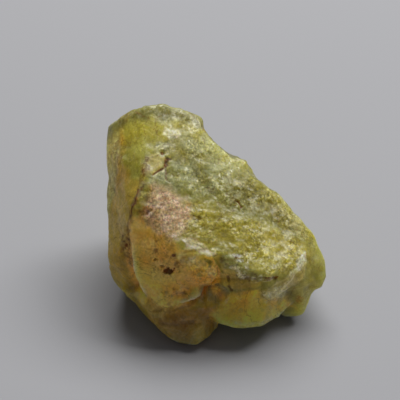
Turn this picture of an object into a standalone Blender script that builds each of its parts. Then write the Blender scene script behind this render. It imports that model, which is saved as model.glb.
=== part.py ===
"""A rough grossular garnet: one broken crystal, as a single solid.

The stone is a block of convex lumps that grew into each other, joined into one body, with
shell-shaped scoops where pieces broke away. Its underside is one flat break, which it rests on.
Corners are in millimetres from the middle of the stone's box at that break: +X right, +Y back, +Z up.
"""

import bmesh
import bpy
from mathutils import Vector

NAME = "garnet"
MM = 0.001  # a millimetre, in metres

LENGTH = 31.6  # along X
DEPTH = 26.0  # along Y
HEIGHT = 24.0  # along Z
END = LENGTH / 2  # the outermost point at either end
FRONT = -DEPTH / 2
BACK = DEPTH / 2

STONE_COLOUR = (0.33, 0.32, 0.09, 1.0)  # linear: an olive yellow
STONE_ROUGHNESS = 0.4

# The block: a steep left wall, a long roof that falls to the right and the front, and a rough back.
BLOCK = (
    # the crest, from the left end to the right
    (-END, 12.0, 18.7),
    (-14.7, 12.0, 21.1),
    (-12.6, 11.7, 22.7),
    (-9.4, 11.6, HEIGHT),
    (-7.0, 11.6, HEIGHT),
    (-3.3, 11.3, 22.9),
    (-1.6, 10.9, 21.8),
    (4.6, 7.2, 17.4),
    (6.8, 4.5, 15.8),
    (9.2, 3.2, 14.4),
    (12.6, 0.4, 11.6),
    # the ridge between the left wall and the roof
    (-9.5, 1.8, 19.4),
    (-10.5, -0.3, 17.7),
    (-11.3, -3.2, 15.0),
    # the foot of the roof
    (-5.0, -6.4, 13.9),
    (1.0, -7.1, 12.3),
    (4.5, -7.8, 11.4),
    (7.5, -8.5, 10.4),
    (12.1, -3.2, 10.4),
    # the left wall
    (-13.6, 4.2, 16.2),
    (-14.2, -0.2, 11.8),
    (-15.5, -1.0, 9.0),
    (-15.5, -3.4, 6.4),
    (-14.8, -4.8, 5.0),
    (-12.9, -5.6, 3.6),
    # the back
    (-12.6, 12.7, 17.6),
    (-8.0, 12.8, 20.4),
    (-1.6, 12.2, 18.6),
    (-13.0, 12.3, 9.0),
    (-5.0, 12.6, 10.0),
    (1.8, BACK, 9.4),
    (9.2, 8.4, 6.4),
    (13.0, 3.0, 4.5),
    # the flat break underneath
    (-9.5, -3.0, 0.0),
    (-12.0, 2.0, 0.0),
    (-11.0, 9.0, 0.0),
    (-3.0, 10.8, 0.0),
    (6.0, 6.5, 0.0),
    (9.0, 1.0, 0.0),
    (7.5, -4.5, 0.0),
    (0.0, -8.0, 0.0),
)

# The smooth amber lobe on the front, left of the middle.
FRONT_LOBE = (
    (-11.2, -4.3, 14.1),
    (-11.1, -6.6, 11.0),
    (-10.3, -8.6, 7.6),
    (-9.8, -9.4, 6.4),
    (-8.7, -9.7, 6.2),
    (-7.3, -10.5, 5.8),
    (-4.3, -10.5, 6.4),
    (-1.5, -9.7, 7.2),
    (-0.1, -9.0, 8.0),
    (-0.6, -7.6, 11.8),
    (-5.0, -6.5, 13.5),
    # inside the block
    (-9.0, 2.0, 9.0),
    (-2.0, 0.0, 9.0),
)

# The glassy knob at the lobe's right.
KNOB = (
    (-2.3, -6.9, 12.9),
    (-1.0, -6.9, 12.9),
    (0.2, -7.3, 11.7),
    (0.5, -7.9, 10.2),
    (0.0, -8.8, 8.8),
    (-1.9, -9.4, 8.6),
    (-3.1, -8.3, 11.0),
    # inside the lobe
    (-2.0, -3.0, 8.0),
)

# The thin-edged shelf low on the right of the front, clear of the ground.
SHELF = (
    # where it leaves the block, from the left
    (-1.2, -9.6, 6.8),
    (0.4, -8.4, 8.4),
    (2.1, -8.5, 7.5),
    (3.0, -7.6, 9.2),
    (4.9, -8.6, 7.7),
    (6.2, -8.2, 9.4),
    (8.3, -7.5, 10.1),
    (10.4, -5.1, 10.2),
    (9.7, -7.6, 8.6),
    (11.2, -6.3, 9.4),
    (12.6, -3.7, 10.2),
    (6.5, -9.5, 6.8),
    # its thin edge, from the left
    (-0.9, -10.4, 4.6),
    (1.1, -11.5, 3.7),
    (2.6, -11.6, 3.6),
    (4.2, -11.9, 3.4),
    (6.7, -11.2, 3.5),
    (9.3, -9.9, 3.6),
    (10.9, -8.7, 4.0),
    (12.7, -7.3, 4.8),
    (12.6, -6.5, 6.8),
    # down to the break, and inside the block
    (1.0, -6.5, 0.0),
    (7.3, -4.0, 0.0),
    (4.0, 0.0, 8.0),
)

# The rounded right end.
RIGHT_END = (
    (12.4, 0.5, 11.5),
    (12.9, 0.1, 11.2),
    (14.4, 0.3, 9.8),
    (15.2, -1.9, 8.4),
    (END, -3.8, 6.8),
    (END, -4.8, 6.2),
    (14.9, -6.1, 4.8),
    (13.2, -7.5, 3.5),
    (12.7, -7.6, 2.6),
    (12.7, -7.5, 1.4),
    (10.0, -7.9, 1.3),
    (12.6, -3.6, 10.1),
    (12.6, -6.5, 6.8),
    (13.6, 2.2, 4.4),
    # down to the break, and inside the block
    (8.0, -4.0, 0.0),
    (9.0, 1.0, 0.0),
    (8.0, 2.0, 9.0),
    (6.0, -3.0, 8.0),
)

# The chin at the bottom of the front, which nearly reaches the ground.
CHIN = (
    (-7.4, -11.0, 1.8),
    (-5.8, -12.4, 1.4),
    (-3.8, FRONT, 1.1),
    (-2.7, FRONT, 1.1),
    (-0.8, -12.1, 1.5),
    (1.1, -10.9, 2.0),
    (-12.9, -5.6, 3.6),
    (-11.2, -7.1, 2.8),
    (-9.4, -9.1, 2.3),
    # the ledge under the amber lobe
    (-10.0, -8.9, 6.2),
    (-7.6, -10.2, 5.9),
    (-2.0, -9.9, 6.6),
    (-0.3, -9.8, 5.0),
    (0.3, -11.0, 3.4),
    # down to the break, and inside the block
    (-9.0, -3.0, 0.0),
    (-6.0, -8.6, 0.0),
    (-1.5, -9.8, 0.0),
    (0.0, -8.0, 0.0),
    (-8.0, 0.0, 9.0),
    (-1.0, -4.0, 8.0),
)

# Shell-shaped scoops, each an ellipsoid that bites into the stone: its middle and its three radii.
SCOOPS = {
    "crest_notch": ((8.9, 14.0, 25.2), (11.2, 11.2, 11.2)),
    "back_scoop": ((-9.0, 26.0, 12.5), (17.0, 15.0, 14.0)),
    "back_chip": ((13.5, 17.5, 17.0), (13.0, 12.0, 10.0)),
    "end_scoop": ((19.5, 8.5, 8.0), (9.0, 8.5, 8.0)),
    "left_scoop": ((-26.5, 8.0, 9.0), (13.0, 12.0, 9.5)),
}


def hull(name, corners):
    """A new object: the convex solid that just holds these corners, given in millimetres."""
    mesh = bpy.data.meshes.new(name)
    solid = bmesh.new()
    for corner in corners:
        solid.verts.new(Vector(corner) * MM)
    made = bmesh.ops.convex_hull(solid, input=solid.verts)
    inside = [item for item in made["geom_interior"] if isinstance(item, bmesh.types.BMVert)]
    bmesh.ops.delete(solid, geom=inside, context="VERTS")
    bmesh.ops.recalc_face_normals(solid, faces=solid.faces)
    solid.to_mesh(mesh)
    solid.free()
    return bpy.data.objects.new(name, mesh)


def ellipsoid(name, middle, radii):
    """A new object: a ball with its radii along X, Y and Z, given in millimetres."""
    mesh = bpy.data.meshes.new(name)
    solid = bmesh.new()
    bmesh.ops.create_icosphere(solid, subdivisions=3, radius=1.0)
    bmesh.ops.scale(solid, vec=Vector(radii) * MM, verts=solid.verts)
    bmesh.ops.translate(solid, vec=Vector(middle) * MM, verts=solid.verts)
    solid.to_mesh(mesh)
    solid.free()
    return bpy.data.objects.new(name, mesh)


def reshape(garnet, tool, operation, collection):
    """Joins the tool to the stone, or cuts it away, and keeps the tool out of sight."""
    tool.hide_render = True
    tool.display_type = "WIRE"
    collection.objects.link(tool)
    step = garnet.modifiers.new(tool.name, "BOOLEAN")
    step.operation = operation
    step.solver = "EXACT"
    step.object = tool


def garnet_material():
    """Translucent olive-yellow stone with a dull, broken surface."""
    material = bpy.data.materials.new("grossular")
    material.use_nodes = True
    shader = material.node_tree.nodes["Principled BSDF"]
    shader.inputs["Base Color"].default_value = STONE_COLOUR
    shader.inputs["Roughness"].default_value = STONE_ROUGHNESS
    shader.inputs["Metallic"].default_value = 0.0
    return material


def main():
    for old in list(bpy.data.objects):
        bpy.data.objects.remove(old)
    stones = bpy.data.collections.new(NAME)
    shaping = bpy.data.collections.new("shaping")
    for collection in (stones, shaping):
        bpy.context.scene.collection.children.link(collection)
    garnet = hull(NAME, BLOCK)
    garnet.data.materials.append(garnet_material())
    stones.objects.link(garnet)
    lumps = {
        "front_lobe": FRONT_LOBE,
        "knob": KNOB,
        "shelf": SHELF,
        "right_end": RIGHT_END,
        "chin": CHIN,
    }
    for name, corners in lumps.items():
        reshape(garnet, hull(name, corners), "UNION", shaping)
    for name, (middle, radii) in SCOOPS.items():
        reshape(garnet, ellipsoid(name, middle, radii), "DIFFERENCE", shaping)


main()
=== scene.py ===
"""A rough grossular garnet on a pale table: the finish of its one piece, and table, light and camera."""

import math
import bpy
import numpy as np
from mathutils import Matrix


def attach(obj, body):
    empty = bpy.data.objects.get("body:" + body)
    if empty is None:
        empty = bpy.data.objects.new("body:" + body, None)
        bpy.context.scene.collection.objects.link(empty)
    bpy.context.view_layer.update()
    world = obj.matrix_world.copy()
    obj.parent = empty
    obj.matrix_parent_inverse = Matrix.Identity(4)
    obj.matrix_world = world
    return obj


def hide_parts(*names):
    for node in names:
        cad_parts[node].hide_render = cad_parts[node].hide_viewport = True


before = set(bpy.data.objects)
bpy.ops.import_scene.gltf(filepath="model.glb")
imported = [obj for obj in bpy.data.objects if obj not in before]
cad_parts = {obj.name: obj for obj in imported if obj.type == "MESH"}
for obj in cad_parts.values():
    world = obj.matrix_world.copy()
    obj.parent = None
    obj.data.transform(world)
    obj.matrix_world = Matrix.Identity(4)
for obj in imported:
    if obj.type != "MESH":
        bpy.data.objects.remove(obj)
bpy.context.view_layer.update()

# ---------------------------------------------------------------------------------------------------
# The stone's body. One broken garnet crystal, about 32 mm long, with no crystal face left on it. It came
# out of its rock along curved and stepped fractures. Its broad faces are the frame's solid; what follows
# wraps a fine skin round them, eases the inner corners and lets the edges wander. Lengths are in mm.

GRID = 128  # cells along each side of the six panels that wrap the stone
HEART = np.array([-1.5, 1.0, 9.5])  # a point inside, from which nearly the whole surface can be seen
MILLIMETRE = 0.001  # in metres


def solid_corners(node):
    """The corners of a node's triangles, in millimetres, as an array of triangle, corner and axis."""
    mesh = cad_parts[node].data
    mesh.calc_loop_triangles()
    points = np.empty(len(mesh.vertices) * 3)
    mesh.vertices.foreach_get("co", points)
    corners = np.empty(len(mesh.loop_triangles) * 3, dtype=np.int64)
    mesh.loop_triangles.foreach_get("vertices", corners)
    return points.reshape(-1, 3)[corners].reshape(-1, 3, 3) / MILLIMETRE


def wrapped_grid(cells):
    """Directions that cover a ball, and the four-sided cells between them. Two parameters s and t run from
    -1 to 1 over each side of a cube, their tangents give a point on that side, and the point's direction
    from the cube's middle is kept. Directions that two sides share along an edge are made one."""
    along = np.tan(np.linspace(-1, 1, cells + 1) * math.pi / 4)
    s, t = np.meshgrid(along, along, indexing="ij")
    one = np.ones_like(s)
    sides = [(one, s, t), (-one, t, s), (t, one, s), (s, -one, t), (s, t, one), (t, s, -one)]
    points = np.concatenate([np.stack(side, axis=-1).reshape(-1, 3) for side in sides])
    points /= np.linalg.norm(points, axis=1, keepdims=True)
    _, first, place = np.unique(np.round(points, 6), axis=0, return_index=True, return_inverse=True)
    index = np.arange(6 * (cells + 1) ** 2).reshape(6, cells + 1, cells + 1)
    cell = np.stack(
        [index[:, :-1, :-1], index[:, 1:, :-1], index[:, 1:, 1:], index[:, :-1, 1:]], axis=-1
    ).reshape(-1, 4)
    return points[first], place.reshape(-1)[cell]


def outermost(directions, heart, corners):
    """How far from the heart each direction leaves the solid. A direction d crosses the triangle a, b, c
    where d is on the inner side of the three planes through the heart and its edges, at distance
    (a . n) / (d . n), and the furthest crossing counts."""
    batch = 8192  # directions taken at a time, to save memory
    level = 1e-9  # a triangle less tilted than this is seen edge on
    slack = 1e-7  # no direction slips through between two triangles
    a, b, c = (corners[:, i] - heart for i in range(3))
    normal = np.cross(b - a, c - a)
    sides = (np.cross(a, b), np.cross(b, c), np.cross(c, a))
    height = np.einsum("ij,ij->i", a, normal)
    reach = np.zeros(len(directions))
    for start in range(0, len(directions), batch):
        d = directions[start : start + batch]
        slope = d @ normal.T
        within = slope > level
        for side in sides:
            within &= d @ side.T >= -slack
        distance = np.where(within, height / np.where(within, slope, 1.0), 0.0)
        reach[start : start + batch] = distance.max(axis=1)
    return reach


def edges_of(cells):
    """Each pair of neighbouring points once."""
    pairs = np.concatenate([cells[:, [i, (i + 1) % 4]] for i in range(4)])
    return np.unique(np.sort(pairs, axis=1), axis=0)


def neighbour_mean(values, pairs):
    """The average of each point's neighbours' values."""
    values = values.reshape(len(values), -1)
    ends = np.concatenate([pairs[:, 0], pairs[:, 1]])
    others = np.concatenate([pairs[:, 1], pairs[:, 0]])
    count = np.bincount(ends, minlength=len(values))
    sums = [np.bincount(ends, weights=column[others], minlength=len(values)) for column in values.T]
    return np.squeeze(np.stack(sums, axis=1) / count[:, None])


def relax(values, pairs, rounds, share=0.5):
    """Moves each value part of the way to the average of its neighbours, several times over."""
    for _ in range(rounds):
        values = values + share * (neighbour_mean(values, pairs) - values)
    return values


def normals_of(points, cells):
    """Each point's outward direction: the crossed diagonals of the cells around it, added up."""
    corner = points[cells]
    across = np.cross(corner[:, 2] - corner[:, 0], corner[:, 3] - corner[:, 1])
    sums = [
        sum(np.bincount(cells[:, i], weights=side, minlength=len(points)) for i in range(4))
        for side in across.T
    ]
    total = np.stack(sums, axis=1)
    return total / np.linalg.norm(total, axis=1, keepdims=True)


def fade(value, low, high):
    """0 below low and 1 above high. Between them it rises as 3 t squared less 2 t cubed. With low above
    high, it falls instead."""
    part = np.clip((value - low) / (high - low), 0, 1)
    return part * part * (3 - 2 * part)


def scramble(x, y, z, seed):
    """Repeatable random numbers from 0 to 1, one for each whole-number grid point: the three numbers are
    multiplied by large odd ones, combined, and stirred by shifts."""
    mix = x.astype(np.uint32) * np.uint32(0x8DA6B343)
    mix ^= y.astype(np.uint32) * np.uint32(0xD8163841)
    mix ^= z.astype(np.uint32) * np.uint32(0xCB1AB31F)
    mix ^= np.uint32((seed * 0x9E3779B1) & 0xFFFFFFFF)
    for shift, factor in ((15, 0x2C1B3C6D), (12, 0x297A2D39), (15, 1)):
        mix ^= mix >> np.uint32(shift)
        mix *= np.uint32(factor)
    return mix / 2.0**32


def turned(points, seed):
    """The points turned about the origin, each seed its own way, so that no noise shows its grid's lines."""
    return points @ np.linalg.qr(np.random.default_rng(seed).normal(size=(3, 3)))[0]


def crumple(points, size, seed):
    """Creased noise from -1 to 1, flat between its creases. Each cube of the given size is cut into six
    wedges that run from corner to corner, and the random values at a wedge's four corners are blended in
    proportion."""
    place = turned(points, seed) / size
    corner = np.floor(place).astype(np.int64)
    part = place - corner
    order = np.argsort(-part, axis=1)
    ranked = np.take_along_axis(part, order, axis=1)
    share = -np.diff(ranked, axis=1, prepend=1.0, append=0.0)
    rows = np.arange(len(points))
    total = share[:, 0] * scramble(*corner.T, seed)
    for step in range(3):
        corner[rows, order[:, step]] += 1
        total += share[:, step + 1] * scramble(*corner.T, seed)
    return total * 2 - 1


directions, cells = wrapped_grid(GRID)
pairs = edges_of(cells)
solid = solid_corners("garnet")
skin = HEART + directions * outermost(directions, HEART, solid)[:, None]

# The points are spread evenly over the surface: slid towards their neighbours, and put back on the solid.
for _ in range(3):
    spread = relax(skin, pairs, 5) - HEART
    directions = spread / np.linalg.norm(spread, axis=1, keepdims=True)
    skin = HEART + directions * outermost(directions, HEART, solid)[:, None]

bare = skin.copy()  # the solid's own surface, on which outlines and routes are measured

# Inner corners fill up a little and outer edges stay: a point below its neighbours' average rises to it.
for _ in range(3):
    outward = normals_of(skin, cells)
    lift = np.einsum("ij,ij->i", neighbour_mean(skin, pairs) - skin, outward)
    skin = skin + outward * (0.9 * np.maximum(lift, 0))[:, None]


def along(points, route):
    """How far each point is from a route of straight pieces."""
    nearest = np.full(len(points), 1e9)
    for start, end in zip(np.array(route[:-1]), np.array(route[1:])):
        run = end - start
        share = np.clip((points - start) @ run / (run @ run), 0, 1)
        nearest = np.minimum(nearest, np.linalg.norm(points - start - share[:, None] * run, axis=1))
    return nearest


# The lobe at the front left runs up to the slope in one curve, and the dome beside it swells out of the
# lobe, so the grooves between them are eased away, and so is the left wall's edge below the top.
CREST = [(-8.9, 9.4, 23.0), (-8.6, 8.4, 22.5), (-8.8, 5.4, 21.0)]
for route, reach, rounds in (
    ([(-11.2, -3.3, 14.3), (-8.2, -5.2, 13.8), (-4.2, -6.9, 12.5)], 2.6, 90),
    ([(-3.9, -7.6, 11.8), (-3.5, -8.6, 10.0), (-2.6, -9.3, 8.8)], 1.4, 60),
    (CREST, 2.2, 60),
):
    eased = fade(along(skin, route), reach, 0.5 * reach)[:, None]
    for _ in range(rounds):
        skin = skin + 0.5 * eased * (neighbour_mean(skin, pairs) - skin)


def chip(points, middle, facing, depth, reach):
    """Breaks off what stands above a flat cut. The cut lies at a depth under the middle point and faces
    the given way, and a point above it moves straight down on to it, out to the reach."""
    facing = np.array(facing) / np.linalg.norm(facing)
    height = (points - np.array(middle)) @ facing + depth
    near = fade(np.linalg.norm(points - np.array(middle), axis=1), reach, 0.5 * reach)
    return points - facing * (near * np.maximum(height, 0))[:, None]


# Each chip is its middle, the way its cut faces, its depth and its reach. Large ones are gone behind the
# right edge of the slope, at the top and down the left side. Small ones shape the lobe, the dome, the
# shelf, the foot, the right end and the left wall's lowest corner.
for middle, facing, depth, reach in (
    ((1.0, 9.0, 20.0), (0.65, 0.40, 0.64), 0.9, 4.4),
    ((6.8, 4.8, 16.1), (0.62, 0.50, 0.60), 0.5, 3.6),
    ((-14.4, 12.0, 20.9), (-0.60, 0.30, 0.74), 0.45, 4.5),
    ((-15.2, 3.0, 12.0), (-1.0, 0.0, -0.03), 0.3, 16.0),
    ((-3.2, 11.6, 22.9), (0.45, 0.25, 0.86), 0.45, 3.6),
    ((0.7, 10.7, 18.2), (0.66, 0.38, 0.64), 0.75, 3.6),
    ((-9.5, -8.6, 8.0), (-0.45, -0.80, 0.10), 0.20, 3.4),
    ((-4.5, -9.2, 8.6), (0.15, -0.95, 0.35), 0.30, 2.4),
    ((0.6, -7.9, 11.2), (0.80, -0.45, 0.40), 0.35, 2.2),
    ((-2.8, -7.6, 12.2), (-0.35, -0.55, 0.78), 0.25, 2.0),
    ((-0.6, -9.0, 8.6), (0.45, -0.85, -0.30), 0.35, 2.2),
    ((10.4, -8.6, 4.6), (0.62, -0.70, 0.35), 0.30, 2.8),
    ((1.2, -9.8, 6.8), (-0.55, -0.55, 0.65), 0.30, 2.0),
    ((-3.6, -12.6, 2.0), (-0.10, -0.90, 0.45), 0.35, 2.8),
    ((-6.8, -11.2, 4.2), (-0.62, -0.70, 0.35), 0.30, 2.6),
    ((-0.4, -11.4, 2.6), (0.66, -0.66, 0.36), 0.35, 2.4),
    ((-13.6, -5.0, 5.6), (-0.72, -0.58, 0.10), 0.40, 3.2),
    ((14.6, -3.8, 8.2), (0.72, -0.35, 0.60), 0.35, 3.0),
    ((13.0, -7.0, 4.4), (0.80, -0.60, 0.10), 0.30, 2.6),
):
    skin = chip(skin, middle, facing, depth, reach)

# Broken edges wander in short straight runs: the whole skin is shifted by creased noise, coarse and fine.
off_table = fade(skin[:, 2], 0.05, 1.2)  # 0 on the flat break that the stone rests on
for size, height, seed in ((4.6, 0.30, 11), (2.0, 0.16, 21), (0.9, 0.08, 31)):
    shift = np.stack([crumple(skin, size, seed + axis) for axis in range(3)], axis=1)
    skin = skin + height * shift * off_table[:, None]
skin = relax(skin, pairs, 1, 0.3)
outward = normals_of(skin, cells)
bend = np.einsum("ij,ij->i", skin - neighbour_mean(skin, pairs), outward)
bend = relax(bend, pairs, 3) / 0.02  # in 0.02 mm: above 0 on outer edges, below 0 in inner corners

# ---------------------------------------------------------------------------------------------------
# The breaks. Each face of the stone broke its own way: a long crushed slope on top with level streaks low
# down, glassy curved walls, a waxy lobe at the front left, a small dome, and thin steps at the lower
# right. Outlines and routes are corner points on the skin, as x, y, z.


def waves(points, size, seed):
    """Smooth noise from -1 to 1, with lumps about as large as size: random values at the corners of cubes
    that wide, blended inside each cube along a curve that is level at both ends."""
    place = turned(points, seed) / size
    low = np.floor(place).astype(np.int64)
    part = place - low
    part = part**3 * (part * (part * 6 - 15) + 10)
    total = np.zeros(len(points))
    for i, j, k in np.ndindex(2, 2, 2):
        weight = np.abs(1 - i - part[:, 0]) * np.abs(1 - j - part[:, 1]) * np.abs(1 - k - part[:, 2])
        total += weight * scramble(low[:, 0] + i, low[:, 1] + j, low[:, 2] + k, seed)
    return total * 2 - 1


def roughness(points, size, seed, layers=3):
    """Broken noise from about -1 to 1: smooth noise, plus finer and finer layers, each half as high."""
    total = np.zeros(len(points))
    for layer in range(layers):
        total += 0.5**layer * waves(points, size * 0.49**layer, seed + layer)
    return total / 1.4


def combed(points, along, size, stretch, seed, layers=2):
    """Streaky noise: broken noise read after the points are squeezed along one direction, so its lumps are
    drawn out that way by the given stretch."""
    along = np.array(along) / np.linalg.norm(along)
    squeezed = points - np.outer(points @ along, along) * (1 - 1 / stretch)
    return roughness(squeezed, size, seed, layers)


def scallops(points, size, seed):
    """Shell-like hollows that meet in ridges: the squared distance to the nearest of many scattered seeds,
    one in each cube of the given size, as a share of that size."""
    place = turned(points, seed) / size
    low = np.floor(place).astype(np.int64)
    nearest = np.full(len(points), 9.0)
    for step in np.ndindex(3, 3, 3):
        near = low + np.array(step) - 1
        gap = place - near - np.stack([scramble(*near.T, seed + axis) for axis in range(3)], axis=1)
        nearest = np.minimum(nearest, (gap * gap).sum(axis=1))
    return nearest


def inside(outline, soft=0.25, ragged=0.4, depth=2.5, seed=5):
    """1 inside a closed outline on the skin and 0 outside it. Skin and outline are laid flat on the
    outline's mean plane, where a point is inside if a line from it crosses the outline an odd number of
    times. Its distance to the nearest side, below 0 outside, is roughened by noise and faded over the soft
    width. Points further from that plane than the depth fade out."""
    outline = np.array(outline)
    middle = outline.mean(axis=0)
    axes = np.linalg.svd(outline - middle)[2]
    flat = (bare - middle) @ axes.T
    corners = (outline - middle) @ axes[:2].T
    within = np.zeros(len(bare), dtype=bool)
    nearest = np.full(len(bare), 1e9)
    for start, end in zip(corners, np.roll(corners, -1, axis=0)):
        run = end - start
        gap = flat[:, :2] - start
        share = np.clip(gap @ run / (run @ run), 0, 1)
        nearest = np.minimum(nearest, np.linalg.norm(gap - share[:, None] * run, axis=1))
        spans = (gap[:, 1] < 0) != (gap[:, 1] < run[1])
        within ^= spans & (gap[:, 0] * abs(run[1]) < gap[:, 1] * run[0] * np.sign(run[1]))
    signed = np.where(within, nearest, -nearest) + ragged * roughness(bare, 1.3, seed)
    return fade(signed, -soft, soft) * fade(np.abs(flat[:, 2]), 1.2 * depth, depth)


def patch(middle, reach, ragged=0.35, soft=0.3, seed=5):
    """1 inside a region with the given half-widths and 0 outside it: the distance from its middle, as a
    share of those widths, is roughened by noise and faded over the soft width around 1."""
    distance = np.linalg.norm((bare - np.array(middle)) / np.array(reach), axis=1)
    distance = distance + ragged * roughness(bare, 0.35 * min(np.atleast_1d(reach)) + 0.3, seed)
    return fade(distance, 1 + soft, 1 - soft)


def line(route, width, ragged=0.4, seed=8):
    """1 along a route of straight pieces, falling to 0 at its width. Smooth noise shifts the points first,
    so its course wavers."""
    wavering = bare + ragged * width * np.stack([waves(bare, 0.9, seed + axis) for axis in range(3)], axis=1)
    return fade(along(wavering, route), width, 0.3 * width)


def specks(region, size, share, seed):
    """Scattered spots inside a region: 1 where broken noise of the given size stands above a level. A
    share of 0.75 covers about half of the region, and a share of 0 leaves it bare."""
    level = 0.75 - share
    return region * fade(roughness(skin, size, seed, 2), level - 0.08, level + 0.08)


def any_of(*masks):
    """The strongest of several masks at each point."""
    return np.maximum.reduce(masks)


# The slope on top faces up and right of the left wall.
SLOPE_FACES = np.array([0.34, -0.37, 0.87])
on_slope = fade(outward @ SLOPE_FACES, 0.70, 0.88) * fade(skin[:, 2], 8.0, 10.0)
walls = 1 - on_slope  # every face but the slope

# A small flat pale face at the top of the slope, beside a crack.
triangle = inside(
    [(-9.7, 4.3, 20.5), (-6.5, 4.6, 20.3), (-7.8, 2.2, 19.2), (-9.0, 1.3, 18.8), (-10.0, 1.1, 18.8)],
    soft=0.3, ragged=0.5,
)
# A pale grooved strip down the left edge of the left wall.
strip = inside(
    [(-15.3, 11.9, 19.7), (-13.9, 11.2, 21.3), (-13.0, 9.2, 20.9), (-13.1, 5.6, 18.7), (-13.8, 3.0, 15.4),
     (-15.1, 1.0, 11.8), (-15.4, 7.0, 15.7)],
    soft=0.5, ragged=0.4, depth=4.0,
)
# The freshest face, high on the left wall, and the crest above it.
vivid = inside(
    [(-12.9, 10.9, 22.2), (-8.9, 10.7, 23.6), (-8.7, 6.5, 21.6), (-9.2, 4.2, 20.5), (-9.6, 1.1, 18.9),
     (-11.3, 1.4, 17.9), (-13.0, 5.2, 18.8)],
    soft=1.0, ragged=0.7,
)
crest = line(CREST, 2.8, ragged=0.6)
# A granular pinkish patch at the slope's lower left.
pink = inside(
    [(-9.9, 0.9, 18.7), (-7.7, 0.8, 18.5), (-5.7, 0.3, 17.8), (-3.4, -0.9, 16.7), (-3.1, -2.4, 15.9),
     (-3.3, -4.4, 15.0), (-4.9, -5.7, 14.3), (-6.8, -5.2, 14.7), (-8.8, -4.0, 15.2), (-9.8, -2.8, 15.8),
     (-9.2, -1.1, 17.3)],
    soft=1.0, ragged=0.9,
)
# The waxy lobe under it, and the dome on the lobe's right.
lobe = inside(
    [(-11.3, -2.2, 15.6), (-9.4, -2.5, 16.1), (-8.0, -3.9, 15.2), (-5.6, -5.2, 14.7), (-3.9, -6.4, 13.6),
     (-1.0, -7.3, 12.1), (0.6, -7.4, 11.7), (0.8, -7.6, 8.4), (-0.5, -9.3, 7.3), (-3.3, -10.6, 6.3),
     (-7.3, -11.0, 4.6), (-10.5, -10.2, 5.3), (-11.8, -6.2, 6.7), (-12.5, -3.8, 13.2)],
    soft=1.0, ragged=0.6, depth=6.0,
)
dome = inside(
    [(-3.6, -7.5, 11.8), (-2.3, -7.0, 12.8), (-0.6, -7.1, 12.7), (0.8, -7.4, 11.2), (0.8, -7.6, 9.4),
     (-0.5, -8.9, 8.5), (-2.6, -9.2, 8.8), (-3.4, -8.5, 10.0)],
    soft=0.7, ragged=0.3, depth=4.0,
)
# Silky streaks where the slope rolls over above the dome.
silk = inside(
    [(-5.0, -4.6, 15.0), (-3.2, -5.0, 14.4), (-1.0, -5.9, 13.5), (0.8, -6.9, 12.6), (-1.9, -7.0, 12.7),
     (-3.6, -7.5, 11.8), (-5.0, -7.0, 12.6), (-3.9, -6.2, 13.8)],
    soft=0.3, ragged=0.5,
)
# A crust of sugary crystals along the slope's lower edge, and the narrow step under it.
crust = inside(
    [(1.4, -6.7, 12.3), (3.6, -6.3, 12.2), (3.5, -7.2, 11.9), (4.8, -8.1, 10.9), (6.8, -8.4, 10.1),
     (8.3, -7.8, 9.5), (6.9, -8.3, 9.0), (4.9, -8.4, 8.9), (3.1, -7.9, 9.7)],
    soft=0.3, ragged=0.5,
)
step = inside(
    [(0.9, -7.6, 11.4), (3.1, -7.6, 10.4), (6.9, -8.3, 9.2), (5.9, -8.9, 8.2), (2.2, -9.0, 7.8),
     (1.2, -8.6, 8.4)],
    soft=0.3, ragged=0.3,
)
# A ribbed band at the lower right, with a bruised upper edge.
band = inside(
    [(6.2, -9.3, 7.7), (9.7, -7.5, 8.9), (12.6, -3.7, 9.9), (12.9, -4.3, 9.0), (12.2, -6.6, 7.3),
     (10.5, -7.9, 6.7), (7.6, -9.5, 6.4)],
    soft=0.2, ragged=0.25,
)
bright_band = inside(
    [(9.4, -7.7, 8.7), (11.1, -6.0, 9.8), (12.7, -3.5, 10.0), (12.9, -4.6, 8.8), (11.5, -6.6, 8.5)],
    soft=0.25, ragged=0.3,
)
# The glassy shelf under the step and the band, the stone's right end, and its foot below the lobe.
shelf = inside(
    [(-0.3, -9.0, 8.0), (2.2, -9.0, 7.9), (6.2, -9.0, 8.0), (6.5, -9.5, 7.1), (10.5, -8.2, 6.0),
     (11.7, -7.6, 2.8), (4.2, -11.8, 3.6), (0.9, -10.4, 2.6), (-0.3, -10.6, 4.7)],
    soft=0.8, ragged=0.6, depth=5.0,
)
right_end = walls * fade(skin[:, 0] + 0.4 * skin[:, 1], 10.9, 11.9)
foot = fade(skin[:, 2], 6.4, 5.2) * fade(skin[:, 0], 1.4, 0.4) * fade(skin[:, 1], -9.0, -10.0)

# The slope's upper part is crushed and frosted, and level streaks run along the rest.
crushed = fade(skin[:, 1] + 0.1 * skin[:, 0] + 1.2 * roughness(skin, 3.0, 41), -2.5, 1.0)
crushed = crushed * on_slope * (1 - triangle) * (1 - 0.85 * any_of(vivid, crest))
streaked = on_slope * (1 - crushed) * (1 - any_of(triangle, lobe, dome, vivid, crest, crust))

# Iron has eaten small pits into the lobe and the granular patch.
pits = any_of(
    patch((-6.0, -7.9, 10.7), (0.75, 0.5, 0.42), ragged=0.9),
    0.8 * patch((-6.9, -7.6, 11.1), (0.5, 0.4, 0.2), ragged=0.9),
    0.8 * patch((-7.9, -7.0, 11.7), (0.36, 0.3, 0.22), ragged=0.9),
    0.6 * patch((-4.7, -7.9, 11.0), (0.2, 0.2, 0.3), ragged=0.9),
    0.6 * specks(patch((-9.0, -2.6, 16.1), (0.9, 1.0, 1.0), ragged=0.3), 0.8, 0.7, 86),
)
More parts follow.
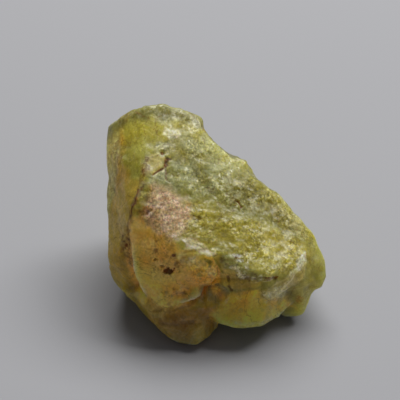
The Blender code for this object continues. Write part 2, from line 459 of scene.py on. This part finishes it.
# Open cracks: two beside the triangle, with a small hole above them, one on the slope, one across the
# step and one at the crust's right end.
crack = any_of(
    line([(-6.2, 4.1, 20.0), (-7.1, 3.0, 19.5), (-7.7, 2.3, 19.3), (-8.4, 1.7, 19.1)], 0.34, ragged=0.9),
    0.7 * line([(-6.9, 3.0, 19.4), (-6.5, 2.3, 19.0), (-6.4, 1.5, 18.6)], 0.32, ragged=0.7),
    patch((-7.1, 4.8, 20.5), (0.3, 0.3, 0.3), ragged=0.3),
    line([(3.2, 0.4, 15.8), (3.3, 0.1, 15.6), (3.6, -0.4, 15.3)], 0.36, ragged=0.8),
    0.8 * line([(1.9, -7.6, 9.2), (1.9, -8.0, 8.8), (2.1, -8.6, 8.4), (2.3, -9.0, 7.9)], 0.30, ragged=0.7),
    line([(7.0, -8.5, 10.0), (7.7, -8.2, 9.7), (8.6, -7.8, 9.2)], 0.42),
)
# A fine ledge across the foot.
ledge = line([(-7.0, -11.2, 3.5), (-4.2, -11.5, 3.8), (-1.5, -11.3, 3.6)], 0.45, ragged=0.5)

# Height in mm, added or taken away along each point's outward direction: grain, hollows and ripples on the
# walls, streaks and ribs that run the way each face broke, then pits, cracks and nibbled edges.
LEAST_ROUGH = 0.40 * np.ones(len(skin))
STREAKS_RUN = (0.93, 0.27, -0.25)
STRIP_RUNS = (0.1, 0.7, 0.7)
SILK_RUNS = (0.85, -0.35, -0.4)
RIBS_RUN = (0.68, 0.63, 0.365)
rough_share = any_of(LEAST_ROUGH, crushed, 0.7 * streaked, 0.9 * crust, pink)
grain = 0.045 * crumple(skin, 1.3, 51) + 0.042 * crumple(skin, 0.7, 52) + 0.038 * crumple(skin, 0.4, 53)
hollows = 0.14 * (scallops(skin, 4.6, 61) - 0.3)
relief = grain * rough_share
relief += walls * (0.17 * crumple(skin, 3.0, 54) + 0.08 * crumple(skin, 1.2, 55) + hollows)
relief += 0.045 * streaked * combed(skin, STREAKS_RUN, 0.6, 3, 71)
relief += 0.07 * strip * combed(skin, STRIP_RUNS, 0.45, 10, 72)
relief += 0.08 * silk * combed(skin, SILK_RUNS, 0.4, 8, 73)
relief += band * (0.10 + 0.09 * combed(skin, RIBS_RUN, 0.42, 14, 74))
relief += 0.08 * triangle + 0.14 * crust * (0.6 + crumple(skin, 0.9, 75))
relief += 0.12 * dome * crumple(skin, 1.1, 76)
relief -= 0.35 * pits + 0.24 * crack + 0.16 * ledge
outer_edge = fade(bend, 0.5, 2.0) * off_table
relief -= 0.12 * outer_edge * np.abs(crumple(skin, 0.8, 81) + 0.3)
skin = skin + outward * (relief * off_table)[:, None]
skin = relax(skin, pairs, 1, 0.2)
skin = np.clip(skin, solid.min(axis=(0, 1)), solid.max(axis=(0, 1)))  # no grain passes the solid's box
outward = normals_of(skin, cells)
proud = np.einsum("ij,ij->i", skin - relax(skin, pairs, 4), outward)
proud = np.clip(proud / 0.035, -1, 1)  # in 0.035 mm: above 0 on ridges, below 0 in dents

# ---------------------------------------------------------------------------------------------------
# The markings. Iron left brown stain along the cracks and edges and black specks in pits, and knocks left
# bruised white edges, painted paler still as edge highlights. Some masks are painted light or shade
# instead: the olive rim, highlights on the dome, and the pale patch under the ribbed band. Each marking is
# a mask from 0 to 1 on the skin, which the stone's material reads.

# How much each point faces the back: first over a wide stretch of skin round it, then over a small one.
BACK_FACES = np.array([0.35, 0.80, 0.48])
back = fade(relax(outward, pairs, 30) @ BACK_FACES + 0.5 * roughness(skin, 5.0, 133), -0.2, 0.5)
back *= 1 - any_of(0.9 * on_slope, vivid, crest, strip)
faces_near = relax(outward, pairs, 6)
leaning_back = fade(faces_near[:, 1], -0.15, 0.20)

# The stone's upper margin, the far faces that show over it, and the notch between the dome and the shelf
# are painted a dull olive: painted shade, which holds back the glow that the light from behind gives them.
RIM_FACES = np.array([0.14, 0.72, 0.68])
MARGIN = [
    (-14.8, 11.6, 20.0), (-12.0, 11.8, 22.4), (-9.0, 11.8, 23.4), (-5.2, 11.7, 23.3), (-2.4, 11.4, 22.2),
    (-0.3, 10.9, 19.6), (1.8, 9.6, 18.4),
]
rim_shade = any_of(
    fade(faces_near @ RIM_FACES, 0.45, 0.85),
    0.6 * patch((-1.1, -8.6, 7.5), (1.1, 1.4, 1.7), ragged=0.2, soft=0.4),
    0.95 * line(MARGIN, 3.8, ragged=0.1),
    0.75 * fade(relax(outward, pairs, 12)[:, 1], -0.30, 0.05) * fade(skin[:, 2], 9.0, 12.0),
)

# Black and dark brown specks of iron, in the pits and cracks and scattered near them. Two of these places
# are marked again further on: the edge between the left wall and the slope, and the shelf's left end.
LEFT_EDGE = [
    (-9.2, 4.0, 20.4), (-10.0, 0.6, 18.2), (-11.2, -2.0, 15.8), (-11.8, -3.3, 13.8), (-11.6, -4.3, 10.9),
]
shelf_end = patch((1.6, -9.8, 6.8), (2.2, 1.2, 1.2), ragged=0.5, soft=0.5)
iron = any_of(
    crack,
    pits,
    0.7 * specks(line(LEFT_EDGE, 0.7), 0.9, 0.6, 91),
    line([(-10.7, 0.2, 17.7), (-10.8, -1.2, 16.8), (-11.2, -2.2, 15.7)], 0.32, ragged=0.7),
    0.8 * specks(patch((-6.4, -6.6, 13.0), (2.4, 1.6, 1.6)), 0.8, 0.38, 93),
    0.8 * specks(crust, 0.5, 0.26, 94),
    0.8 * specks(patch((-5.2, -9.4, 8.1), (2.2, 1.2, 0.8)), 0.6, 0.42, 95),
    0.6 * specks(foot, 0.9, 0.25, 96),
    0.6 * specks(shelf_end, 0.5, 0.3, 140),
    specks(patch((-11.8, -4.1, 11.3), (0.6, 0.7, 1.6)), 0.6, 0.5, 121),
    patch((-5.4, -6.9, 12.6), (0.26, 0.26, 0.26), ragged=0.3),
    0.7 * specks(line([(-6.0, -6.2, 13.6), (-5.0, -7.4, 11.8), (-4.0, -8.3, 10.4)], 0.8), 0.5, 0.42, 122),
)

# Rust: a thin red-brown stain, mostly round the lobe, and in spots on the back.
LOBE_RIDGE = [
    (-11.4, -2.4, 15.4), (-11.6, -3.6, 13.0), (-11.3, -5.2, 10.0), (-10.6, -7.2, 8.0), (-9.9, -8.8, 6.6),
]
LOBE_FOOT = [
    (-9.7, -9.0, 5.2), (-8.7, -9.9, 5.0), (-7.3, -10.5, 5.3), (-4.6, -10.4, 5.7), (-3.3, -10.1, 6.2),
    (-1.9, -9.5, 6.7),
]
rust = any_of(
    0.8 * specks(patch((-12.0, -4.1, 11.0), (0.9, 1.1, 2.0)), 0.8, 0.55, 97),
    0.7 * patch((-8.2, -10.0, 5.8), (2.4, 1.2, 0.8), ragged=0.7),
    0.8 * specks(patch((12.3, -7.7, 3.8), (1.0, 1.0, 1.4)), 0.9, 0.75, 98),
    0.4 * patch((-12.4, 11.2, 22.3), (1.1, 1.0, 0.9), ragged=0.7),
    0.3 * patch((-8.8, -3.0, 15.9), (2.0, 1.6, 1.4), ragged=0.7),
    0.25 * line([(-13.0, 9.0, 20.8), (-12.9, 4.8, 18.3), (-13.6, 2.4, 15.0)], 0.3),
    0.8 * line(LOBE_FOOT, 0.55, ragged=0.6),
    0.5 * line(LOBE_RIDGE[:3], 0.9),
    0.3 * line([(-5.6, -6.9, 12.6), (-5.0, -7.6, 11.6), (-4.2, -8.3, 10.4)], 0.7, ragged=0.8),
    0.7 * specks(back, 4.0, 0.22, 99),
)

# Knocked outer edges are bruised, and their paleness is also a painted edge highlight. Three small
# patches on the dome are painted highlights, and a patch just under the ribbed band is painted light on
# an underside in shade.
bruise_and_edge_light = outer_edge * fade(roughness(skin, 1.5, 101), -0.3, 0.5)
bruise_and_edge_light *= 1 - any_of(0.85 * leaning_back, 0.7 * rim_shade)
dome_highlights = any_of(
    patch((-3.1, -7.4, 12.0), (0.9, 0.7, 0.7), ragged=0.4),
    patch((-0.4, -8.0, 10.6), (0.9, 0.7, 0.7), ragged=0.4),
    0.8 * patch((-1.6, -7.6, 11.7), (0.9, 0.7, 0.7), ragged=0.4),
)
under_band_light = patch((9.0, -8.6, 6.8), (2.4, 1.4, 1.2), ragged=0.5, soft=0.6)

# Frost: a haze of fine breaks, thick on the crushed slope, and thin on the streaks, the crust, the edges,
# the back and the shelf.
frost = any_of(
    crushed * (0.6 + 0.4 * fade(roughness(skin, 1.8, 136), -0.3, 0.2)),
    0.45 * streaked,
    0.6 * crust,
    0.5 * bruise_and_edge_light * (1 - lobe),
    specks(0.8 * back, 5.0, 0.30, 102),
    0.6 * specks(shelf, 1.8, 0.4, 105),
)

# White: sugary crystals, ribs and silk threads that catch the light, the worst bruises with their painted
# edge highlight, the painted highlights on the dome, painted light under the ribbed band, and painted light
# in the notch between the dome and the shelf, which lies in shade.
core = patch((3.4, -7.7, 11.3), (1.5, 0.8, 0.9), ragged=0.4, soft=0.4)  # the whitest part of the crust
ribs = fade(combed(skin, RIBS_RUN, 0.42, 14, 74), -0.1, 0.3)
threads = fade(combed(skin, SILK_RUNS, 0.5, 6, 104), 0.0, 0.35)
white = any_of(
    patch((-5.8, 8.0, 21.8), (1.2, 1.0, 0.8), ragged=0.6),
    0.55 * inside([(-3.2, 10.7, 22.6), (-1.9, 9.7, 21.8), (-2.8, 8.7, 21.4)], soft=0.2, ragged=0.3),
    0.5 * patch((-6.0, 5.6, 20.8), (1.0, 1.4, 0.8), ragged=0.8),
    0.4 * patch((-1.1, -8.3, 7.2), (1.2, 2.0, 1.6), ragged=0.2, soft=0.4),
    0.75 * under_band_light,
    0.45 * dome_highlights,
    0.95 * specks(core, 0.5, 0.64, 138),
    0.95 * specks(crust, 0.6, 0.66, 103),
    bright_band,
    0.25 * line(LOBE_RIDGE, 0.35),
    0.45 * bruise_and_edge_light * (1 - lobe),
    0.7 * band * ribs,
    0.55 * silk * threads,
    0.45 * specks(shelf_end, 0.45, 0.4, 139),
    0.35 * specks(crushed, 2.4, 0.42, 106),
    0.25 * specks(streaked, 0.7, 0.30, 107),
    # painted light: a pale line along the shelf's thin lower edge, where light glows through
    0.5 * line([(2.9, -11.4, 4.1), (4.2, -11.7, 3.9), (6.3, -11.1, 4.0), (8.0, -10.4, 3.8)], 0.4),
)

# Grime: brown dust held in the grooves and hollows, as fine dots.
grimy = any_of(
    0.45 * patch((-7.9, -0.9, 17.2), (2.0, 1.6, 1.3), ragged=0.5, soft=0.6),
    0.25 * pink,
    0.6 * patch((-9.1, -2.6, 16.0), (1.0, 1.2, 1.0), ragged=0.6, soft=0.6),
    0.42 * patch((-6.0, -7.6, 11.2), (1.8, 1.2, 1.4), ragged=0.6, soft=0.7),
    0.5 * patch((-5.4, -9.4, 8.0), (2.0, 1.2, 0.9), ragged=0.6, soft=0.7),
    0.35 * patch((-12.6, 11.0, 22.2), (1.4, 1.0, 0.9), ragged=0.6, soft=0.7),
    0.6 * line(LEFT_EDGE, 0.9),
    0.45 * line([(-8.8, -3.2, 15.8), (-6.4, -5.6, 14.2), (-4.6, -7.5, 12.0)], 0.9),
    0.6 * line([(-12.4, -3.4, 12.6), (-11.9, -4.0, 11.2), (-11.6, -5.0, 9.2)], 1.1),
    0.30 * line([(0.9, -7.6, 10.6), (0.8, -7.8, 8.6), (-0.4, -9.4, 7.3)], 0.8, ragged=0.5),
    0.6 * crust * (1 - 0.8 * core),
)

# Grit: how strongly loose crystals and splinters show. They lie in drifts.
LEAST_GRIT = 0.25 * np.ones(len(skin))
grit = any_of(
    LEAST_GRIT,
    0.8 * crushed,
    streaked,
    pink,
    crust,
    0.8 * dome,
    0.6 * silk,
    0.7 * under_band_light,
    0.5 * shelf * fade(skin[:, 2], 6.0, 7.6),
    0.5 * patch((-7.4, -5.6, 13.4), (2.4, 2.4, 2.4), ragged=0.6, soft=0.5),
    dome_highlights,
)
grit *= any_of(pink, 0.8 * dome, 0.3 + 0.7 * fade(roughness(skin, 2.0, 135), -0.35, 0.25))

# The left wall and the front are warmer than the slope, deeper in colour low down, and the wall's far end
# is plain green again. The slope itself turns olive to the right.
front_wall = (1 - any_of(on_slope, back, right_end, shelf)) * fade(skin[:, 0], 2.0, 0.0)
front_wall *= 1 - fade(skin[:, 1], 2.0, 7.0) * fade(skin[:, 2], 16.0, 12.0)
deep = front_wall * fade(skin[:, 2] + 1.5 * roughness(skin, 4.0, 91), 17.0, 8.0)
low_lobe = lobe * fade(skin[:, 2] + 0.8 * roughness(skin, 2.0, 131), 11.5, 8.0)
olive = on_slope * fade(skin[:, 0] - 0.5 * skin[:, 1] + 1.5 * roughness(skin, 3.0, 132), -3.5, 3.5)
olive *= 1 - any_of(pink, silk, crust, band, 0.7 * streaked)
clearest = any_of(right_end, 0.3 * step, 0.7 * foot, 0.5 * shelf, 0.35 * deep * (1 - lobe))

marks = {
    "wall": front_wall,
    "deep": deep,
    "foot": foot,
    "shelf": shelf * (1 - step),
    "vivid": any_of(vivid, 0.85 * crest, step),
    "beige": triangle,
    "strip": strip,
    "amber": any_of(lobe, dome, 0.65 * step),
    "tan": any_of(low_lobe, dome),
    "streaked": streaked,
    "frost": frost,
    "olive": olive,
    "rim_shade": rim_shade,
    "pink": pink,
    "silk": any_of(silk, 0.6 * band),
    "white": white,
    "rust": rust,
    "grimy": grimy,
    "iron": iron,
    "glassy": clearest * (1 - rust),
    "grit": grit,
    "proud": proud,
}

mesh = bpy.data.meshes.new("garnet_crystal")
mesh.vertices.add(len(skin))
mesh.vertices.foreach_set("co", (skin * MILLIMETRE).ravel())
mesh.loops.add(cells.size)
mesh.loops.foreach_set("vertex_index", cells.ravel().astype(np.int32))
mesh.polygons.add(len(cells))
mesh.polygons.foreach_set("loop_start", np.arange(0, cells.size, 4, dtype=np.int32))
mesh.update(calc_edges=True)
mesh.validate()
mesh.shade_smooth()
for name, values in marks.items():
    mesh.attributes.new(name, "FLOAT", "POINT").data.foreach_set("value", values.astype(np.float32))
garnet = bpy.data.objects.new("garnet_crystal", mesh)
bpy.context.scene.collection.objects.link(garnet)

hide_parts("garnet")
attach(garnet, "root")

# ---------------------------------------------------------------------------------------------------
# The stone's material, grossular: a calcium and aluminium garnet, cloudy yellow-green where it is fresh.
# It is glassy on curved breaks and sparkles like sugar where it was crushed. Light sinks in and comes
# out again a centimetre or so away, so thin edges glow and shaded sides stay soft.


def linear(hex_colour, alpha=1.0):
    """A colour written as sRGB, such as "8f8c4a", as the linear values that Blender's sockets take."""
    parts = [int(hex_colour[i : i + 2], 16) / 255 for i in (0, 2, 4)]
    curve = [p / 12.92 if p <= 0.04045 else ((p + 0.055) / 1.055) ** 2.4 for p in parts]
    return (*curve, alpha)


def add(nodes, kind, sockets, **settings):
    """Adds one shader node. The settings are its own choices, and sockets gives each input a value or
    another node's output to follow."""
    node = nodes.new("ShaderNode" + kind)
    for name, value in settings.items():
        setattr(node, name, value)
    for name, value in sockets.items():
        if isinstance(value, bpy.types.NodeSocket):
            nodes.id_data.links.new(value, node.inputs[name])
        else:
            node.inputs[name].default_value = value
    return node


grossular = bpy.data.materials.new("grossular")
grossular.use_nodes = True
nodes = grossular.node_tree.nodes
shader = nodes["Principled BSDF"]
place = add(nodes, "TexCoord", {}).outputs["Object"]
mask = {name: add(nodes, "Attribute", {}, attribute_name=name).outputs["Fac"] for name in marks}

# The noises that mottle it. Each Scale is one over the size of a lump, in metres, and the last noise is
# drawn out along the slope's level streaks.
grain_fine = add(nodes, "TexNoise", {"Vector": place, "Scale": 1 / 0.00045, "Detail": 3.0}).outputs["Fac"]
grain_grit = add(nodes, "TexNoise", {"Vector": place, "Scale": 1 / 0.0003, "Detail": 2.0}).outputs["Fac"]
grain_speck = add(nodes, "TexNoise", {"Vector": place, "Scale": 1 / 0.00065, "Detail": 2.0}).outputs["Fac"]
grain_wide = add(nodes, "TexNoise", {"Vector": place, "Scale": 1 / 0.0030, "Detail": 4.0}).outputs["Fac"]
level = add(
    nodes, "Mapping", {"Vector": place, "Rotation": (0.0, 0.26, -0.28), "Scale": (0.18, 1.0, 1.0)}
).outputs[0]
grain_level = add(nodes, "TexNoise", {"Vector": level, "Scale": 1 / 0.0006, "Detail": 3.0}).outputs["Fac"]

# Tiny crystals, 0.28 mm wide. The finest real ones are smaller than that, too fine to show.
crystals = add(nodes, "TexVoronoi", {"Vector": place, "Scale": 1 / 0.00028}).outputs["Color"]

# Flat splinters, 0.55 mm wide and nearly twice as long, lie along the level streaks. A wander of their
# places keeps their edges from being straight.
drawn = add(
    nodes, "Mapping", {"Vector": place, "Rotation": (0.0, 0.25, 0.28), "Scale": (1.8, 1.0, 1.0)},
    vector_type="TEXTURE",
).outputs[0]
wander = add(nodes, "TexNoise", {"Vector": place, "Scale": 1 / 0.0008, "Detail": 2.0}).outputs["Color"]
wandered = add(nodes, "VectorMath", {0: wander, "Scale": 0.0007}, operation="SCALE").outputs[0]  # 0.7 mm
splinter_place = add(nodes, "VectorMath", {0: drawn, 1: wandered}, operation="ADD").outputs[0]
splinters = add(nodes, "TexVoronoi", {"Vector": splinter_place, "Scale": 1 / 0.00055}).outputs["Color"]

# Sockets that share a name are given by number. A Mix node's 0 is the share, 6 and 7 are its two colours,
# and 2 and 3 its two plain numbers. A MapRange node's 1 to 4 are from low, from high, to low and to high.
#
# Each coat lies over the ones before it: its mask, the grain that mottles its light and dark colours,
# those two colours, and how far that grain breaks the coat's edge.
coats = [
    ("wall", grain_wide, "ceb84e", "b29c3a", 0.3),  # warm yellow-green of the left wall and the front
    ("deep", grain_wide, "c8a62a", "a08418", 0.5),  # honey yellow low on them
    ("foot", grain_wide, "d6a236", "b2802a", 0.5),  # brown-yellow foot
    # painted light: the shelf's clear yellow is painted brighter than its own, to light it in its own shade
    ("shelf", grain_wide, "ffe25e", "ffca4c", 0.5),  # clear yellow shelf
    ("vivid", grain_wide, "bab952", "a4a146", 0.3),  # the freshest yellow-green
    ("beige", grain_level, "d2c884", "b2a866", 0.3),  # the pale triangle
    ("strip", grain_level, "c8c68c", "a6a066", 0.4),  # the pale strip down the left edge
    ("amber", grain_wide, "f0d87c", "e6bc5a", 0.3),  # the waxy lobe and dome
    ("tan", grain_wide, "ffd862", "f8ba46", 0.5),  # the lobe's warmer lower half
    ("streaked", grain_level, "c6b63e", "9e8f20", 0.2),  # yellow streaks low on the slope
    ("frost", grain_fine, "acac70", "989a5e", 0.7),  # grey-green haze of fine breaks
    ("olive", grain_fine, "8c852d", "6f6a1a", 0.5),  # the slope's darker right side
    # painted shade: the margin is painted dull olive to hold back the glow the light from behind gives it
    ("rim_shade", grain_wide, "76743a", "64622e", 0.3),  # dull olive margin
    ("pink", grain_fine, "efd0a4", "cca07a", 0.6),  # the granular pinkish patch
    ("silk", grain_level, "ece0a4", "bca55e", 0.5),  # pale silky streaks and ribs
    ("white", grain_fine, "f2f0de", "cfcaa2", 0.7),  # bruises and sugary crystals
    ("rust", grain_fine, "a87840", "7e5428", 0.9),  # red-brown stain
    ("grimy", grain_speck, "5e3c16", "5e3c16", 4.5),  # brown dust, broken into dots
    ("iron", grain_fine, "93561a", "4d2708", 0.7),  # dark specks, pits and cracks
]
body = add(
    nodes, "Mix", {0: grain_wide, 6: linear("b0ac58"), 7: linear("949044")}, data_type="RGBA"
).outputs[2]
for name, mottle, light, dark, break_up in coats:
    spread = add(nodes, "MapRange", {0: mottle, 1: 0.35, 2: 0.65}).outputs[0]
    tone = add(nodes, "Mix", {0: spread, 6: linear(dark), 7: linear(light)}, data_type="RGBA").outputs[2]
    offset = add(
        nodes, "Math", {0: mottle, 1: break_up, 2: -0.5 * break_up}, operation="MULTIPLY_ADD"
    ).outputs[0]
    shifted = add(nodes, "Math", {0: mask[name], 1: offset}, operation="ADD").outputs[0]
    amount = add(
        nodes, "Math", {0: mask[name], 1: shifted}, operation="MULTIPLY", use_clamp=True
    ).outputs[0]
    body = add(nodes, "Mix", {0: amount, 6: body, 7: tone}, data_type="RGBA").outputs[2]

# Old cracks inside the stone show as pale veils and brown threads: thin lines where a noise crosses its
# middle value.
for size, colour, width, strength in ((0.0042, "f2ecc4", 0.030, 0.10), (0.0060, "6e4416", 0.007, 0.55)):
    noise = add(
        nodes, "TexNoise", {"Vector": place, "Scale": 1 / size, "Detail": 6.0, "Distortion": 0.8}
    ).outputs["Fac"]
    centred = add(nodes, "Math", {0: noise, 1: 0.5}, operation="SUBTRACT").outputs[0]
    spread = add(nodes, "Math", {0: centred}, operation="ABSOLUTE").outputs[0]
    thread = add(nodes, "MapRange", {0: spread, 1: 0.0, 2: width, 3: strength, 4: 0.0}).outputs[0]
    body = add(nodes, "Mix", {0: thread, 6: body, 7: linear(colour)}, data_type="RGBA").outputs[2]

# Where there is grit, about one crystal in four is paler: partly the paleness of crushed grains, partly
# painted glints.
pale = add(nodes, "MapRange", {0: crystals, 1: 0.62, 2: 0.70, 3: 0.0, 4: 0.30}).outputs[0]
glint_dusted = add(nodes, "Math", {0: pale, 1: mask["grit"]}, operation="MULTIPLY").outputs[0]
body = add(nodes, "Mix", {0: glint_dusted, 6: body, 7: linear("dcd896")}, data_type="RGBA").outputs[2]

# Painted shade and light: ridges are painted a little lighter and dents darker. Grit and splinters swing
# either way, each grain its own.
shade = add(nodes, "MapRange", {0: mask["proud"], 1: -1.0, 2: 1.0, 3: 0.82, 4: 1.18}).outputs[0]
for pattern, least, most in ((grain_grit, 0.4, 2.0), (splinters, 0.08, 0.32)):
    swing = add(nodes, "MapRange", {0: mask["grit"], 3: least, 4: most}).outputs[0]
    centred = add(nodes, "Math", {0: pattern, 1: 0.5}, operation="SUBTRACT").outputs[0]
    factor = add(nodes, "Math", {0: centred, 1: swing, 2: 1.0}, operation="MULTIPLY_ADD").outputs[0]
    shade = add(nodes, "Math", {0: shade, 1: factor}, operation="MULTIPLY").outputs[0]
body = add(nodes, "VectorMath", {0: body, "Scale": shade}, operation="SCALE").outputs[0]
nodes.id_data.links.new(body, shader.inputs["Base Color"])

# Crushed grossular is a crust of crystals and splinters. Each tilts its own way, and some catch the light.
leaning = add(nodes, "NewGeometry", {}).outputs["Normal"]
for pattern, where, least, most in ((crystals, "frost", 0.07, 0.20), (splinters, "grit", 0.05, 0.34)):
    tilt = add(nodes, "VectorMath", {0: pattern, 1: (0.5, 0.5, 0.5)}, operation="SUBTRACT").outputs[0]
    share = add(nodes, "MapRange", {0: mask[where], 3: least, 4: most}).outputs[0]
    tilted = add(nodes, "VectorMath", {0: tilt, "Scale": share}, operation="SCALE").outputs[0]
    leaning = add(nodes, "VectorMath", {0: leaning, 1: tilted}, operation="ADD").outputs[0]
facing = add(nodes, "VectorMath", {0: leaning}, operation="NORMALIZE").outputs[0]
bump = add(
    nodes, "Bump", {"Height": grain_fine, "Normal": facing, "Strength": 0.5, "Distance": 0.00012}
).outputs[0]
nodes.id_data.links.new(bump, shader.inputs["Normal"])

# Fresh breaks are glossy, frosted ones hazy, and grains and stains dull.
grainy = add(nodes, "Math", {0: mask["pink"], 1: mask["rust"]}, operation="MAXIMUM").outputs[0]
dull = add(nodes, "Math", {0: grainy, 1: mask["iron"]}, operation="MAXIMUM").outputs[0]
gloss = add(nodes, "MapRange", {0: dull, 3: 0.38, 4: 0.75}).outputs[0]
hazy = add(nodes, "MapRange", {0: mask["frost"], 3: 0.0, 4: 0.58}).outputs[0]
haze = add(nodes, "Math", {0: gloss, 1: hazy}, operation="MAXIMUM").outputs[0]

# In the frost, a few crystals lie clean and open: they stay glossy, and can flash.
clean = add(nodes, "MapRange", {0: crystals, 1: 0.86, 2: 0.88, 3: 1.0, 4: 0.40}).outputs[0]
sparkle = add(nodes, "Mix", {0: mask["frost"], 2: 1.0, 3: clean}).outputs[0]
polish = add(nodes, "Math", {0: haze, 1: sparkle}, operation="MULTIPLY").outputs[0]
nodes.id_data.links.new(polish, shader.inputs["Roughness"])

# The clearest faces let some light straight through, and the stone tints it yellow-green on its way.
clear = add(nodes, "MapRange", {0: mask["glassy"], 3: 0.05, 4: 0.35}).outputs[0]
nodes.id_data.links.new(clear, shader.inputs["Transmission Weight"])
absorption = add(nodes, "VolumeAbsorption", {"Color": (0.73, 0.69, 0.04, 1.0), "Density": 70.0})
nodes.id_data.links.new(absorption.outputs[0], nodes["Material Output"].inputs["Volume"])
shader.inputs["IOR"].default_value = 1.74  # grossular's own
shader.inputs["Specular IOR Level"].default_value = 0.25  # half as bright: a broken skin scatters its shine

# The rest sinks in and spreads, red furthest. Frost stops about half of it at the surface, and the olive
# margin of painted shade most of it.
dry = add(nodes, "Math", {0: mask["frost"], 1: 0.5}, operation="MULTIPLY").outputs[0]
drier = add(nodes, "Math", {0: dry, 1: mask["rim_shade"]}, operation="MAXIMUM").outputs[0]
sunk = add(nodes, "MapRange", {0: drier, 3: 1.0, 4: 0.1}).outputs[0]
nodes.id_data.links.new(sunk, shader.inputs["Subsurface Weight"])
shader.inputs["Subsurface Radius"].default_value = (1.0, 0.8, 0.25)
shader.inputs["Subsurface Scale"].default_value = 0.018  # 18 mm for red
garnet.data.materials.append(grossular)

# ---------------------------------------------------------------------------------------------------
# The table: one flat sheet of pale grey card, matt and plain. It is two metres wide, so its edges stay far
# out of sight and the stone's shadow fades away on it.

bpy.ops.mesh.primitive_plane_add(size=2.0, location=(0, 0, 0))
table = bpy.context.object
table.name = "table"
card = bpy.data.materials.new("pale_card")
card.use_nodes = True
shader = card.node_tree.nodes["Principled BSDF"]
shader.inputs["Base Color"].default_value = linear("a3a3a6")
shader.inputs["Roughness"].default_value = 0.8  # matt card
shader.inputs["Specular IOR Level"].default_value = 0.2
table.data.materials.append(card)

# ---------------------------------------------------------------------------------------------------
# The light: one wide soft box behind the stone and above it, a little to the right, and a dim even room.
# It grazes the slope on top, so that grains and edges show, and leaves the front in soft shade.

lamp = bpy.data.lights.new("soft_box", "AREA")
lamp.shape = "RECTANGLE"
lamp.size = 1.20  # metres wide
lamp.size_y = 0.44
lamp.energy = 15.5  # watts
lamp_object = bpy.data.objects.new("soft_box", lamp)
lamp_object.location = (0.22, 0.58, 0.80)
bpy.context.scene.collection.objects.link(lamp_object)
lamp_object.rotation_euler = lamp_object.location.to_track_quat("Z", "Y").to_euler()

room = bpy.data.worlds.new("room")
room.use_nodes = True
air = room.node_tree.nodes["Background"]
air.inputs["Color"].default_value = (1.0, 1.0, 1.0, 1.0)
air.inputs["Strength"].default_value = 0.10
bpy.context.scene.world = room
bpy.context.scene.view_settings.view_transform = "Standard"

# ---------------------------------------------------------------------------------------------------
# The camera: a long lens in front of the stone, looking down at 42 degrees from about 12 cm away. So near,
# the stone takes up a little over half of the view's width.

camera = bpy.data.cameras.new("camera")
camera.lens = 79.2
camera.clip_start = 0.005  # nearer than anything in view
camera_object = bpy.data.objects.new("camera", camera)
camera_object.location = (-0.0019, -0.08945, 0.0968)
camera_object.rotation_euler = (math.radians(90 - 42), 0, 0)
bpy.context.scene.collection.objects.link(camera_object)
bpy.context.scene.camera = camera_object
